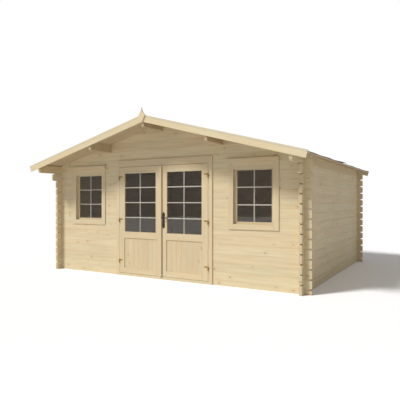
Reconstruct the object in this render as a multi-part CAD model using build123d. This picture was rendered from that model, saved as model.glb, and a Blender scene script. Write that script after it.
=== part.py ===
from build123d import *
import os
from math import floor, radians, tan, cos, sin

# Log-built garden shed: two pairs of stacked log walls that cross at the corners, half a log out of step,
# a low gable roof on three purlins, a glazed double door and two windows. Millimetres, front towards -Y.

# Logs
log_height = 135.0
log_thickness = 44.0
log_groove = 4.0
log_end_notch = 60.0
log_end_opening = 16.0
eave_end_bevel = 26.0
side_courses = 14
corner_projection = 103.0
bracket_projection = 183.0
fit_gap = 0.3

# Building
wall_width = 4640.0
wall_depth = 3776.0

# Roof
roof_slope = 15.0
front_overhang = 495.0
rear_overhang = 145.0
side_overhang = 190.0
roof_board_thickness = 19.0
felt_thickness = 4.0
felt_drip = 5.0
bargeboard_height = 104.0
bargeboard_thickness = 19.0
bargeboard_rise = 18.0
bargeboard_reach = 10.0
purlin_from_wall = 1235.0

# Finial on each end of the ridge
finial_thickness = 18.0
finial_half_width = 63.0
finial_tip_height = 113.0
finial_foot_depth = 117.0
finial_hollow = 15.0

# Floor
bearer_height = 24.0
bearer_width = 45.0
bearer_count = 7
floor_thickness = 16.0

# Door opening and leaves
leaf_half_span = 857.0
leaf_bottom = 46.0
leaf_top = 1823.0
leaf_thickness = 40.0
leaf_side_gap = 5.0
leaf_end_gap = 5.0
meeting_line = 20.0
meeting_gap = 8.0
hinge_stile = 110.0
left_meeting_stile = 125.0
right_meeting_stile = 85.0
meeting_strip_width = 42.0
meeting_strip_thickness = 22.0
door_glass_bottom = 738.0
door_glass_top = 1717.0
panel_bottom = 136.0
panel_top = 634.0
panel_widening = 12.0
panel_thickness = 16.0
glass_thickness = 4.0
glass_setback = 12.0
glass_bite = 8.0
door_open_degrees = 120.0

# Door frame and trim
jamb_thickness = 38.0
stop_width = 17.0
stop_gap = 5.0
frame_depth = 64.0
trim_thickness = 18.0
door_trim_width = 66.0
door_trim_head = 105.0

# Windows
window_from_corner = 738.0
window_glass_half = 269.0
window_glass_bottom = 949.0
window_glass_top = 1701.0
sash_width = 45.0
sash_thickness = 30.0
window_frame_width = 28.0
window_opening_half = 304.0
window_opening_bottom = 926.0
window_opening_top = 1716.0
window_trim_thickness = 26.0
window_trim_width = 84.0
window_trim_head = 154.0

# Hinges
hinge_heights = (249.0, 940.0, 1651.0)
knuckle_radius = 9.0
knuckle_standoff = 11.0
hinge_pin_radius = 4.0
hinge_pin_clearance = 0.25
upper_knuckle = 20.0
lower_knuckle = 42.0
knuckle_gap = 1.0
strap_length = 68.0
strap_height = 20.0
strap_thickness = 3.0
strap_edge_gap = 4.0
frame_strap_length = 22.0

# Handle on the right leaf
handle_height = 985.0
plate_half_height = 132.0
plate_drop = 40.0
plate_half_width = 23.0
plate_thickness = 3.0
plate_offset = 25.0
spindle_radius = 5.0
spindle_clearance = 0.5
lever_neck_radius = 8.5
lever_reach = 42.0
lever_length = 100.0
lever_tail = 24.0
lever_height = 16.0
lever_depth = 10.0

# Places worked out from the sizes
slope = tan(radians(roof_slope))
half_width = wall_width / 2
roof_length = front_overhang + wall_depth + rear_overhang
front_y = -roof_length / 2 + front_overhang
back_y = front_y + wall_depth
roof_front_y = front_y - front_overhang
roof_back_y = back_y + rear_overhang
eave_top = side_courses * log_height
roof_half_span = half_width + side_overhang
ridge_underside = eave_top + half_width * slope
inner_half = half_width - log_thickness
purlin_x = half_width - purlin_from_wall
side_log_centres = [(course + 0.5) * log_height for course in range(side_courses)]
front_log_centres = [course * log_height for course in range(side_courses + 2)]
bargeboard_top = fit_gap + roof_board_thickness + felt_thickness + bargeboard_rise

door_face_y = front_y - trim_thickness
door_inner_y = door_face_y + leaf_thickness
jamb_inner = leaf_half_span + leaf_side_gap
jamb_outer = jamb_inner + jamb_thickness
sill_top = leaf_bottom - leaf_end_gap
head_bottom = leaf_top + leaf_end_gap
head_top = head_bottom + jamb_thickness
floor_top = bearer_height + floor_thickness
gable_start = (floor(head_top / log_height - 0.5) + 0.5) * log_height

window_centre = half_width - window_from_corner
sash_half = window_glass_half + sash_width
sash_bottom = window_glass_bottom - sash_width
sash_top = window_glass_top + sash_width
window_frame_half = sash_half + fit_gap + window_frame_width
window_frame_bottom = sash_bottom - fit_gap - window_frame_width
window_frame_top = sash_top + fit_gap + window_frame_width
sash_face_y = front_y + frame_depth - sash_thickness
window_glass_y = sash_face_y + (sash_thickness - glass_thickness) / 2

hinge_x = jamb_inner - leaf_side_gap / 2
hinge_y = door_face_y - knuckle_standoff
spindle_x = meeting_line + meeting_gap / 2 + plate_offset
door_glass_y = door_face_y + glass_setback


# Basic shapes
def block(x, y, z):
    """A box between the low and high value given for each axis."""
    size = (x[1] - x[0], y[1] - y[0], z[1] - z[0])
    return Pos(x[0], y[0], z[0]) * Box(*size, align=(Align.MIN, Align.MIN, Align.MIN))


def prism_along_x(points, low, high):
    """The Y-Z outline carried along X from low to high."""
    outline = make_face(Polyline(*[(low, y, z) for y, z in points], close=True))
    return extrude(outline, amount=high - low, dir=(1, 0, 0))


def prism_along_y(points, low, high):
    """The X-Z outline carried along Y from low to high."""
    outline = make_face(Polyline(*[(x, low, z) for x, z in points], close=True))
    return extrude(outline, amount=high - low, dir=(0, 1, 0))


def rod_along_z(radius, x, y, z):
    """A round bar between two heights."""
    return Pos(x, y, z[0]) * Cylinder(radius, z[1] - z[0], align=(Align.CENTER, Align.CENTER, Align.MIN))


def rod_along_y(radius, x, y, z):
    """A round bar from front to back, between two Y places."""
    bar = Cylinder(radius, y[1] - y[0], align=(Align.CENTER, Align.CENTER, Align.MIN))
    return Pos(x, y[0], z) * Rot(-90, 0, 0) * bar


def ring(outer, inner, y):
    """A rectangular frame: the outer X and Z ranges, less the inner ones."""
    hole_y = (y[0] - 1, y[1] + 1)
    return block(outer[0], y, outer[1]) - block(inner[0], hole_y, inner[1])


def mirrored(shape):
    """The same piece on the other side of the building."""
    return mirror(shape, about=Plane.YZ)


# Log walls, each built along X with its outer face at Y = 0
def log_outline(low, high, joints, top_rise=0.0):
    """Outline across stacked logs: a V groove at each joint on both faces, and an eased edge at each end."""
    g = log_groove
    outer = []
    for joint in joints:
        outer += [(0, joint - g), (g, joint), (0, joint + g)]
    outer = [(y, z) for y, z in outer if low <= z <= high]
    if (0, low + g) not in outer:
        outer = [(0, low)] + outer
    if (0, high - g) not in outer:
        outer = outer + [(0, high)]
    inner = [(log_thickness - y, z + (top_rise if z == high else 0)) for y, z in reversed(outer)]
    return outer + inner


def log_stack(start, end, low, high, joints, top_rise=0.0):
    """Logs stacked from low to high and running from start to end, tapered at both ends of each log."""
    stack = prism_along_x(log_outline(low, high, joints, top_rise), start, end)
    across = (-1.0, log_thickness + 1.0)
    for joint in joints:
        for place, inward in ((start, 1), (end, -1)):
            mouth = place - inward
            point = (place + inward * log_end_notch, joint)
            wedge = [(mouth, joint - log_end_opening), point, (mouth, joint + log_end_opening)]
            stack -= prism_along_y(wedge, *across)
    return stack


def crossing_cuts(columns, centres):
    """The room that the crossing wall's logs take, at each column and each of their centre heights."""
    reach = log_height / 4 + fit_gap
    cuts = []
    for low, high in columns:
        for centre in centres:
            z = (centre - reach, centre + reach)
            cuts.append(block((low - fit_gap, high + fit_gap), (-1, log_thickness + 1), z))
    return cuts


def joints_between(low, high, offset):
    """Heights of the joints between logs from low to high, both included, but not the ground."""
    count = floor(high / log_height) + 2
    places = [(index + offset) * log_height for index in range(count)]
    return [place for place in places if place > 1 and low - 1 < place < high + 1]


side_columns = [(0, log_thickness), (wall_depth - log_thickness, wall_depth)]
front_columns = [(-half_width, -inner_half), (inner_half, half_width)]
log_start = -half_width - corner_projection
log_end = half_width + corner_projection


def on_right(stack):
    """Turns a stack so that it is the right side wall, running back from the front wall."""
    return Pos(half_width, front_y, 0) * Rot(0, 0, 90) * stack


def side_wall():
    """Right side wall: all its logs but the eave log, the highest of them reaching further forward."""
    low_top = (side_courses - 2) * log_height
    top = low_top + log_height
    wall = log_stack(-corner_projection, wall_depth + corner_projection, 0, low_top, joints_between(0, low_top, 0))
    bracket = log_stack(-bracket_projection, wall_depth + corner_projection, low_top, top, [low_top, top])
    return on_right(wall + bracket - crossing_cuts(side_columns, front_log_centres))


def eave_log():
    """Top log of the right side wall, from bargeboard to bargeboard, bevelled to the roof."""
    low = (side_courses - 1) * log_height
    rise = log_thickness * slope
    outline = [
        (0, low + log_groove),
        (log_groove, low),
        (log_thickness - log_groove, low),
        (log_thickness, low + log_groove),
        (log_thickness, eave_top + rise),
        (0, eave_top),
    ]
    log = prism_along_x(outline, -front_overhang, wall_depth + rear_overhang)
    for end, inward in ((-front_overhang, 1), (wall_depth + rear_overhang, -1)):
        corner = (end - inward, low - 1)
        bevel = [corner, (end + inward * eave_end_bevel, low - 1), (end - inward, low + eave_end_bevel)]
        log -= prism_along_y(bevel, -1.0, log_thickness + 1.0)
    return on_right(log - crossing_cuts(side_columns, front_log_centres))


def roof_line(x, raised=0.0):
    """Height of the underside of the roof boards at x, raised square to the slope."""
    return ridge_underside - abs(x) * slope + raised / cos(radians(roof_slope))


def under_roof(low):
    """Everything below the roof boards and above low, as a cutter for the gables."""
    reach = roof_half_span + 100
    points = [(-reach, low), (reach, low), (reach, roof_line(reach)), (0, ridge_underside), (-reach, roof_line(reach))]
    return prism_along_y(points, -1, log_thickness + 1)


def purlin_cuts():
    """Slots in a gable for the three purlins."""
    half = log_thickness / 2 + fit_gap
    cuts = []
    for x in (-purlin_x, 0, purlin_x):
        bottom = roof_line(x) - log_height - fit_gap
        cuts.append(block((x - half, x + half), (-1, log_thickness + 1), (bottom, bottom + 2 * log_height)))
    return cuts


def end_stack(start, end, low, high):
    """Logs of a front or back wall, half a log out of step with the side walls."""
    stack = log_stack(start, end, low, high, joints_between(low, high, 0.5))
    return stack - crossing_cuts(front_columns, side_log_centres)


def end_gable():
    """Logs above the doorway's height, cut to the roof, with slots for the purlins."""
    stack = end_stack(log_start, log_end, gable_start, ridge_underside + log_height)
    return (stack & under_roof(gable_start - 1)) - purlin_cuts()


door_hole = block(
    (-jamb_outer - fit_gap, jamb_outer + fit_gap), (-1, log_thickness + 1), (-1, head_top + fit_gap)
)


def window_hole():
    """The hole in the wall for the right window's frame."""
    x = (window_centre - window_frame_half - fit_gap, window_centre + window_frame_half + fit_gap)
    return block(x, (-1, log_thickness + 1), (window_frame_bottom - fit_gap, window_frame_top + fit_gap))


def front_wall_right():
    wall = end_stack(0, log_end, 0, gable_start)
    return Pos(0, front_y, 0) * (wall - door_hole - window_hole())


def front_gable():
    return Pos(0, front_y, 0) * (end_gable() - door_hole - window_hole() - mirrored(window_hole()))


def back_wall():
    return Pos(0, back_y - log_thickness, 0) * end_stack(log_start, log_end, 0, gable_start)


def back_gable():
    return Pos(0, back_y - log_thickness, 0) * end_gable()


# Roof
def slope_slab(low, high, reach, y):
    """Right half of a roof layer between two heights above the underside, cut square at the eave."""
    lean = sin(radians(roof_slope))
    top = (reach, roof_line(reach, high))
    bottom_x = reach - (high - low) * lean
    points = [(0, roof_line(0, low)), (bottom_x, roof_line(bottom_x, low)), top, (0, roof_line(0, high))]
    return prism_along_y(points, *y)


def roof_boards():
    return slope_slab(fit_gap, fit_gap + roof_board_thickness, roof_half_span, (roof_front_y, roof_back_y))


def roofing_felt():
    low = fit_gap + roof_board_thickness
    return slope_slab(low, low + felt_thickness, roof_half_span + felt_drip, (roof_front_y, roof_back_y))


def bargeboard(y):
    low = bargeboard_top - bargeboard_height
    return slope_slab(low, bargeboard_top, roof_half_span + bargeboard_reach, y)


def purlin(x):
    """A log on edge under the roof, its top bevelled to the slope."""
    half = log_thickness / 2
    bottom = roof_line(x) - log_height
    points = [
        (x - half, bottom + log_groove),
        (x - half + log_groove, bottom),
        (x + half - log_groove, bottom),
        (x + half, bottom + log_groove),
        (x + half, roof_line(x + half)),
    ]
    if x == 0:
        points.append((0, ridge_underside))
    points.append((x - half, roof_line(x - half)))
    return prism_along_y(points, roof_front_y, roof_back_y)


def finial(y):
    """Kite-shaped board over the joint of two bargeboards, hollow-sided above and straight below."""
    shoulder = roof_line(0, bargeboard_top) - finial_thickness / 2
    tip = (0, shoulder + finial_tip_height)
    foot = (0, shoulder - finial_foot_depth)
    right = (finial_half_width, shoulder)
    left = (-finial_half_width, shoulder)
    hollow = finial_half_width / 2 - finial_hollow
    middle = shoulder + finial_tip_height / 2
    outline = [
        ThreePointArc(tip, (hollow, middle), right),
        Line(right, foot),
        Line(foot, left),
        ThreePointArc(left, (-hollow, middle), tip),
    ]
    return Pos(0, y, 0) * extrude(Plane.XZ * make_face(outline), amount=finial_thickness)


# Floor, kept clear of the door frame
def floor_outline():
    x = (-inner_half + fit_gap, inner_half - fit_gap)
    return x, (front_y + log_thickness + fit_gap, back_y - log_thickness - fit_gap)


def floor_bearers():
    """Bearers across the building, evenly spaced from the door frame to the back wall."""
    x, y = floor_outline()
    first = front_y + frame_depth + fit_gap
    step = (y[1] - bearer_width - first) / (bearer_count - 1)
    bearers = [
        block(x, (first + index * step, first + index * step + bearer_width), (0, bearer_height))
        for index in range(bearer_count)
    ]
    return Compound(bearers)


def floor_boards():
    x, y = floor_outline()
    z = (bearer_height, floor_top)
    half = jamb_outer + fit_gap
    doorway = block((-half, half), (y[0] - 1, front_y + frame_depth + fit_gap), (z[0] - 1, z[1] + 1))
    return block(x, y, z) - doorway


# Door frame, trim and leaves
def door_frame():
    """Jambs, head and threshold, with a stop behind the leaves on the jambs and head."""
    y = (front_y, front_y + frame_depth)
    stop_y = door_inner_y + stop_gap
    outer = block((-jamb_outer, jamb_outer), y, (0, head_top))
    way = block((-jamb_inner, jamb_inner), (y[0] - 1, stop_y), (-1, head_bottom))
    inner_half_way = jamb_inner - stop_width
    past_stop = block((-inner_half_way, inner_half_way), (stop_y - 1, y[1] + 1), (-1, head_bottom - stop_width))
    threshold = block((-jamb_inner, jamb_inner), (door_face_y, y[1]), (0, sill_top))
    return outer - way - past_stop + threshold


def door_trim():
    outer = jamb_inner + door_trim_width
    y = (door_face_y, front_y)
    return ring(((-outer, outer), (0, head_bottom + door_trim_head)), ((-jamb_inner, jamb_inner), (-1, head_bottom)), y)


def leaf_span(side):
    """X range of a leaf: side 1 is the right leaf, -1 the left one."""
    meeting = meeting_line + side * meeting_gap / 2
    return tuple(sorted((meeting, side * leaf_half_span)))


def pane_span(side):
    """X range of the glazed opening in a leaf."""
    meeting_stile = right_meeting_stile if side > 0 else left_meeting_stile
    meeting = meeting_line + side * (meeting_gap / 2 + meeting_stile)
    return tuple(sorted((meeting, side * (leaf_half_span - hinge_stile))))


def grown(span, amount):
    return span[0] - amount, span[1] + amount


def leaf_frame(side):
    """Stiles and rails of a leaf, grooved for its pane and its lower panel."""
    pane = pane_span(side)
    panel = grown(pane, panel_widening)
    y = (door_face_y, door_inner_y)
    through = grown(y, 1)
    frame = block(leaf_span(side), y, (leaf_bottom, leaf_top))
    frame -= block(pane, through, (door_glass_bottom, door_glass_top))
    frame -= block(panel, through, (panel_bottom, panel_top))
    glass_y = grown((door_glass_y, door_glass_y + glass_thickness), fit_gap)
    frame -= block(grown(pane, glass_bite), glass_y, grown((door_glass_bottom, door_glass_top), glass_bite))
    panel_y = grown(panel_range_y(), fit_gap)
    frame -= block(grown(panel, glass_bite), panel_y, grown((panel_bottom, panel_top), glass_bite))
    if side > 0:
        return frame - rod_along_y(lever_neck_radius, spindle_x, through, handle_height)
    return frame + meeting_strip()


def meeting_strip():
    """Strip that stands out along the left leaf's meeting edge."""
    edge = leaf_span(-1)[1]
    y = (door_face_y - meeting_strip_thickness, door_face_y)
    return block((edge - meeting_strip_width, edge), y, (leaf_bottom, leaf_top))


def panel_range_y():
    middle = (door_face_y + door_inner_y) / 2
    return middle - panel_thickness / 2, middle + panel_thickness / 2


def leaf_glass(side):
    size = glass_bite - fit_gap
    y = (door_glass_y, door_glass_y + glass_thickness)
    return block(grown(pane_span(side), size), y, grown((door_glass_bottom, door_glass_top), size))


def leaf_panel(side):
    size = glass_bite - fit_gap
    span = grown(pane_span(side), panel_widening + size)
    return block(span, panel_range_y(), grown((panel_bottom, panel_top), size))


# Hinges: drawn for the right jamb, with the pin on the lower half
def strap(reach, z):
    """Flat strap from the knuckle along the face, reach is signed."""
    side = 1 if reach > 0 else -1
    face = (door_face_y - strap_thickness, door_face_y)
    plate_x = tuple(sorted((hinge_x + side * strap_edge_gap, hinge_x + reach)))
    curl_x = tuple(sorted((hinge_x, hinge_x + side * knuckle_radius)))
    curl_y = (hinge_y + strap_thickness, door_face_y - strap_thickness / 2)
    return block(plate_x, face, z) + block(curl_x, curl_y, z)


def leaf_hinge(height):
    """Upper knuckle, with a blind hole for the pin, and its strap on the leaf."""
    z = (height, height + upper_knuckle)
    bore = hinge_pin_radius + hinge_pin_clearance
    knuckle = rod_along_z(knuckle_radius, hinge_x, hinge_y, z)
    half = (height, height + strap_height)
    body = knuckle + strap(-strap_length, half)
    return body - rod_along_z(bore, hinge_x, hinge_y, (height - 1, z[1] - strap_thickness))


def frame_hinge(height):
    """Lower knuckle with the pin, and its strap on the trim."""
    top = height - knuckle_gap
    z = (top - lower_knuckle, top)
    knuckle = rod_along_z(knuckle_radius, hinge_x, hinge_y, z)
    pin_top = height + upper_knuckle - 2 * strap_thickness
    pin = rod_along_z(hinge_pin_radius, hinge_x, hinge_y, (top - knuckle_radius, pin_top))
    return knuckle + pin + strap(frame_strap_length, (top - strap_height, top))


def leaf_hinges():
    return Compound([leaf_hinge(height) for height in hinge_heights])


def frame_hinges():
    right = [frame_hinge(height) for height in hinge_heights]
    return Compound(right + [mirrored(hinge) for hinge in right])


# Handle
def plate_outline():
    """Long plate with a round top and foot and a waist at the lever, as one closed outline."""
    w = plate_half_width
    h = plate_half_height
    right = [
        ThreePointArc((0, h), (w * 0.72, h * 0.88), (w, h * 0.6)),
        Line((w, h * 0.6), (w * 0.7, h * 0.3)),
        Line((w * 0.7, h * 0.3), (w, -h * 0.55)),
        ThreePointArc((w, -h * 0.55), (w * 0.76, -h * 0.86), (0, -h)),
    ]
    left = [mirror(edge, about=Plane.YZ) for edge in right]
    return make_face(right + left)


def handle_plate(y, outwards):
    """Plate on one face of the leaf; outwards is -1 in front and 1 inside."""
    flat = extrude(Plane.XZ * plate_outline(), amount=-outwards * plate_thickness)
    plate = Pos(spindle_x, y, handle_height - plate_drop) * flat
    through = grown((y - plate_thickness, y + plate_thickness), 1)
    return plate - rod_along_y(spindle_radius + spindle_clearance, spindle_x, through, handle_height)


def handle_plates():
    return Compound([handle_plate(door_face_y, -1), handle_plate(door_inner_y, 1)])


def lever_arm(y):
    """Curved grip from the spindle towards the hinges, drooping a little at its end, with a short tail."""
    path = [
        (-lever_tail, -lever_height / 4),
        (-lever_neck_radius, -lever_height / 2),
        (lever_length * 0.8, -lever_height / 2),
        (lever_length - lever_height / 4, -lever_height),
        (lever_length, -lever_height / 2),
        (lever_length * 0.86, lever_height / 2),
        (-lever_neck_radius, lever_height / 2),
        (-lever_tail, lever_height / 4),
    ]
    return prism_along_y([(spindle_x + x, handle_height + z) for x, z in path], *y)


def door_lever():
    """Outside and inside levers on one spindle through the leaf."""
    plate_out = door_face_y - plate_thickness - spindle_clearance
    plate_in = door_inner_y + plate_thickness + spindle_clearance
    outer = (plate_out - lever_reach, plate_out)
    inner = (plate_in, plate_in + lever_reach)
    lever = rod_along_y(spindle_radius, spindle_x, (outer[1] - 1, inner[0] + 1), handle_height)
    lever += rod_along_y(lever_neck_radius, spindle_x, outer, handle_height)
    lever += rod_along_y(lever_neck_radius, spindle_x, inner, handle_height)
    lever += lever_arm((outer[0], outer[0] + lever_depth))
    return lever + lever_arm((inner[1] - lever_depth, inner[1]))


# Windows, drawn for the right side
def around_window(half, bottom, top):
    return (window_centre - half, window_centre + half), (bottom, top)


def window_frame():
    outer = around_window(window_frame_half, window_frame_bottom, window_frame_top)
    inner = around_window(sash_half + fit_gap, sash_bottom - fit_gap, sash_top + fit_gap)
    return ring(outer, inner, (front_y, front_y + frame_depth))


def window_trim():
    half = window_opening_half + window_trim_width
    bottom = window_opening_bottom - window_trim_width
    outer = around_window(half, bottom, window_opening_top + window_trim_head)
    inner = around_window(window_opening_half, window_opening_bottom, window_opening_top)
    return ring(outer, inner, (front_y - window_trim_thickness, front_y))


def window_sash():
    outer = around_window(sash_half, sash_bottom, sash_top)
    inner = around_window(window_glass_half, window_glass_bottom, window_glass_top)
    sash = ring(outer, inner, (sash_face_y, sash_face_y + sash_thickness))
    x, z = inner
    return sash - block(grown(x, glass_bite), grown(window_glass_range(), fit_gap), grown(z, glass_bite))


def window_glass_range():
    return window_glass_y, window_glass_y + glass_thickness


def window_glass():
    x, z = around_window(window_glass_half, window_glass_bottom, window_glass_top)
    size = glass_bite - fit_gap
    return block(grown(x, size), window_glass_range(), grown(z, size))


# All pieces by name
front_board_y = (roof_front_y - bargeboard_thickness, roof_front_y)
back_board_y = (roof_back_y, roof_back_y + bargeboard_thickness)
pieces = {
    "right_wall": side_wall(),
    "right_eave_log": eave_log(),
    "front_wall_right": front_wall_right(),
    "front_gable": front_gable(),
    "back_wall": back_wall(),
    "back_gable": back_gable(),
    "ridge_purlin": purlin(0),
    "right_purlin": purlin(purlin_x),
    "roof_boards_right": roof_boards(),
    "roofing_felt_right": roofing_felt(),
    "front_bargeboard_right": bargeboard(front_board_y),
    "back_bargeboard_right": bargeboard(back_board_y),
    "front_finial": finial(front_board_y[0]),
    "back_finial": finial(back_board_y[1] + finial_thickness),
    "floor_bearers": floor_bearers(),
    "floor_boards": floor_boards(),
    "door_frame": door_frame(),
    "door_trim": door_trim(),
    "frame_hinges": frame_hinges(),
    "right_window_frame": window_frame(),
    "right_window_trim": window_trim(),
    "right_window_sash": window_sash(),
    "right_window_glass": window_glass(),
    "left_door_frame": leaf_frame(-1),
    "left_door_glass": leaf_glass(-1),
    "left_door_panel": leaf_panel(-1),
    "left_door_hinges": mirrored(leaf_hinges()),
    "right_door_frame": leaf_frame(1),
    "right_door_glass": leaf_glass(1),
    "right_door_panel": leaf_panel(1),
    "right_door_hinges": leaf_hinges(),
    "handle_plates": handle_plates(),
    "door_lever": door_lever(),
}

# The left side of the building repeats the right one
fixed_names = ("wall", "eave_log", "purlin", "window_frame", "window_trim", "window_sash", "window_glass")
for name in fixed_names:
    pieces["left_" + name] = mirrored(pieces["right_" + name])
for name in ("front_wall", "roof_boards", "roofing_felt", "front_bargeboard", "back_bargeboard"):
    pieces[name + "_left"] = mirrored(pieces[name + "_right"])

os.makedirs("parts", exist_ok=True)
for name, piece in pieces.items():
    export_step(piece, f"parts/{name}.step")

print("pieces", len(pieces))
print("hinge axis", round(hinge_x, 2), round(hinge_y, 2), "spindle", round(spindle_x, 2), handle_height)
print("doors open", door_open_degrees, "degrees; front", round(front_y, 1), "back", round(back_y, 1))
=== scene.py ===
"""Garden shed of stacked machined logs: its finishes, boards, glazing bars, felt and fixings."""

import math

import bmesh
import bpy
from mathutils import Matrix, Vector


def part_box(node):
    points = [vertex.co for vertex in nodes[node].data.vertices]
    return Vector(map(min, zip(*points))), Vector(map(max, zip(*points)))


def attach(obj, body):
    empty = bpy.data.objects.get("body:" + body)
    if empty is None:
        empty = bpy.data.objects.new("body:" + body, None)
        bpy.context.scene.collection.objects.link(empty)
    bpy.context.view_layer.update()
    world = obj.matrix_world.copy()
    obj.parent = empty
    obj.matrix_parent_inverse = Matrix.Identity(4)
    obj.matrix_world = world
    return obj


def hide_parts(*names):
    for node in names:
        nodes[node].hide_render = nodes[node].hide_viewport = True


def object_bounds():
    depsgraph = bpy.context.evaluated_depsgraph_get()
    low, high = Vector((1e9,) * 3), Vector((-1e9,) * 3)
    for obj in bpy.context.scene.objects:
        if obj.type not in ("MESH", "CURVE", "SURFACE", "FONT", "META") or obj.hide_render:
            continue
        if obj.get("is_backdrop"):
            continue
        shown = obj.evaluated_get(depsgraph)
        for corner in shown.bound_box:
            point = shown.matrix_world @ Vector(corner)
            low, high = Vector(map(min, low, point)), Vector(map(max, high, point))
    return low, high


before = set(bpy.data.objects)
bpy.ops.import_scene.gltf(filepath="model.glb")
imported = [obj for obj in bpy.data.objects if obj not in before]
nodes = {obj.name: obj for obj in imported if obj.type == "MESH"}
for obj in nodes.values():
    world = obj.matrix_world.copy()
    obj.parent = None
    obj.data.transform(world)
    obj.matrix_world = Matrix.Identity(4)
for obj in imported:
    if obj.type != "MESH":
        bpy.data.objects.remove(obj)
cad_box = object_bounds()

# Building; sizes are in metres, here and below
SIDE_WALL_LOGS = 13
LOG_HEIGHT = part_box("right_wall")[1].z / SIDE_WALL_LOGS
ROOF_SLOPE = math.radians(15)
PAST_ANY_PIECE = 1.0

# Glazing; the outline of bars and beads is set by shares of their depth and width
DOOR_PANE_ROWS = 4
WINDOW_PANE_ROWS = 3
GLASS_BITE = 0.0077
BAR_WIDTH = 0.017
BAR_GAP = 0.0005
BAR_DEPTHS = (0.007, 0.006)
BAR_SHOULDER = 0.45
BAR_CREST = 0.55
LEVEL_BAR_DROP = 0.0006
BEAD_WIDTH = 0.0025
BEAD_CREST = 0.4
EASED_BAR = 0.0008
GRAIN_FACE = -1.75
UPRIGHT_BAR, LEVEL_BAR, UPRIGHT_BEAD, LEVEL_BEAD = range(4)

# Casings and trim
DOOR_CASING = 0.066
DOOR_CASING_HEAD = 0.105
WINDOW_CASING = 0.078
WINDOW_CASING_HEAD = 0.154
CAP_HEIGHT = 0.053
CAP_REACH = 0.01
CASING_SETBACK = 0.011
EASED_CASING = 0.0018
SASH_WIDTH = 0.04
RAKE_STRIP = 0.028
# width of the dark joint lines in frames and of the painted shadow line on bargeboards
JOINT_AND_SHADOW_LINE = 0.0007

# Boards
BOARD_GAP = 0.0004
PANEL_BOARDS = 7
PANEL_GROOVE = 0.0011
ROOF_BOARDS = 50
ROOF_BOARD_THICKNESS = 0.019
ROOF_BOARD_GROOVE = 0.004
RIDGE_GAP = 0.0009
FLOOR_BOARDS = 48
FLOOR_BOARD_GROOVE = 0.0015

# Felt; the starts of the lap and of the eave's lift are shares of a sheet's width and length
FELT_SHEETS = 4
FELT_SLAB = 0.004
FELT_THICKNESS = 0.003
FELT_UNDERSIDE = 0.0002
FELT_STEPS = (14, 30)
FELT_LAP = 0.08
LAP_CLIMB = 0.0035
LAP_START = 0.9
EAVE_START = 0.93
CURLED_SHEET = 1
EAVE_CURL = 0.02
SLIGHT_CURL = 0.004
EAVE_WAVE = 0.002
EAVE_LIFT = 0.0025
EAVE_PLAY = 0.006
WAVE_TURNS = 9
WAVE_SHIFT = 2.1
RIDGE_STRIP_WIDTH = 0.16
RIDGE_STRIP_HEIGHTS = (0.0005, 0.0045)

# Screws and nails; a head's outline and recess are shares of its radius
SCREW_RADIUS = 0.0035
SCREW_OUTLINE = ((1.0, 0.0), (0.92, 0.28), (0.6, 0.42))
SCREW_RECESS = 0.1
SCREW_SIDES = 12
HINGE_HEIGHTS = (0.249, 0.940, 1.651)
HINGE_STRAP = 0.003
LEAF_SCREW_REACHES = (0.010, 0.046)
LEAF_SCREW_RISE = 0.010
JAMB_SCREW_REACH = 0.008
JAMB_SCREW_DROP = 0.011
PLATE_SCREW_INSETS = (0.03, 0.028)
BARGEBOARD_SCREWS = (0.35, 1.085, 1.75, 2.3, 2.46)
BARGEBOARD_SCREW_DROPS = (0.03, 0.075)
CASING_NAIL_RADIUS = 0.0022
UPRIGHT_NAIL_SHARES = (0.05, 0.35, 0.65, 0.9)
BOARD_NAIL_SHARES = (0.3, 0.7)
HEAD_NAIL_SHARES = (0.18, 0.5)
FELT_NAIL_RADIUS = 0.005
FELT_NAILS = 16
FELT_NAIL_REACH = 0.92
FELT_NAIL_INSET = 0.03
FRONT_NAIL_SHARE = 0.02

# Bolts inside the left leaf: across, out from the leaf, and along from each bolt's end
BOLT_INSET = 0.032
BOLT_END_INSETS = (0.024, 0.006)
BOLT_PLATE_HALF = 0.014
BOLT_PLATE_THICKNESS = 0.0015
BOLT_PLATE_REACH = (0.008, 0.128)
BOLT_STAND = 0.0085
BOLT_RADIUS = 0.005
BOLT_LENGTH = 0.118
KNOB_RADIUS = 0.0035
KNOB_LENGTH = 0.022
KNOB_PLACE = 0.07
GUIDE_PLACES = (0.022, 0.108)
GUIDE_HALF = (0.009, 0.006)
GUIDE_ROOT = 0.001
GUIDE_RISE = 0.0075
EASED_BOLT = 0.0006

# Keyholes in the handle plates
KEYHOLE_HEIGHT = 0.075
KEYHOLE_SINK = 0.001
KEYHOLE_STAND = 0.0004
KEYHOLE_RADIUS = 0.0052
SLOT_HALF = 0.0024
SLOT_LENGTH = 0.017

# Camera, found by fitting the photograph's corners and log joints
CAMERA_PLACE = (4.041, -7.454, 1.251)
CAMERA_TURN = (math.radians(90), 0, math.radians(30.13))
CAMERA_LENS = 39.21
CAMERA_RISE = 0.003

# Light
SUN_TRAVEL = Vector((0.72, 1.0, -1.31))
SUN_DISTANCE = 6
SUN_STRENGTH = 2.7
SUN_SPREAD = math.radians(12)
SUN_COLOUR = (1.0, 0.985, 0.95)
SKY_COLOUR = (1.0, 0.985, 0.955, 1)
SKY_STRENGTH = 0.32
FLOOR_RADIUS = 30.0
FLOOR_SIDES = 96
FLOOR_DROP = 0.001
FLOOR_BOUNCE = 0.8
FLOOR_SEEN = 1.08
FLOOR_MIRRORED = 1.55
FLOOR_BLUE = 1.035

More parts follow.
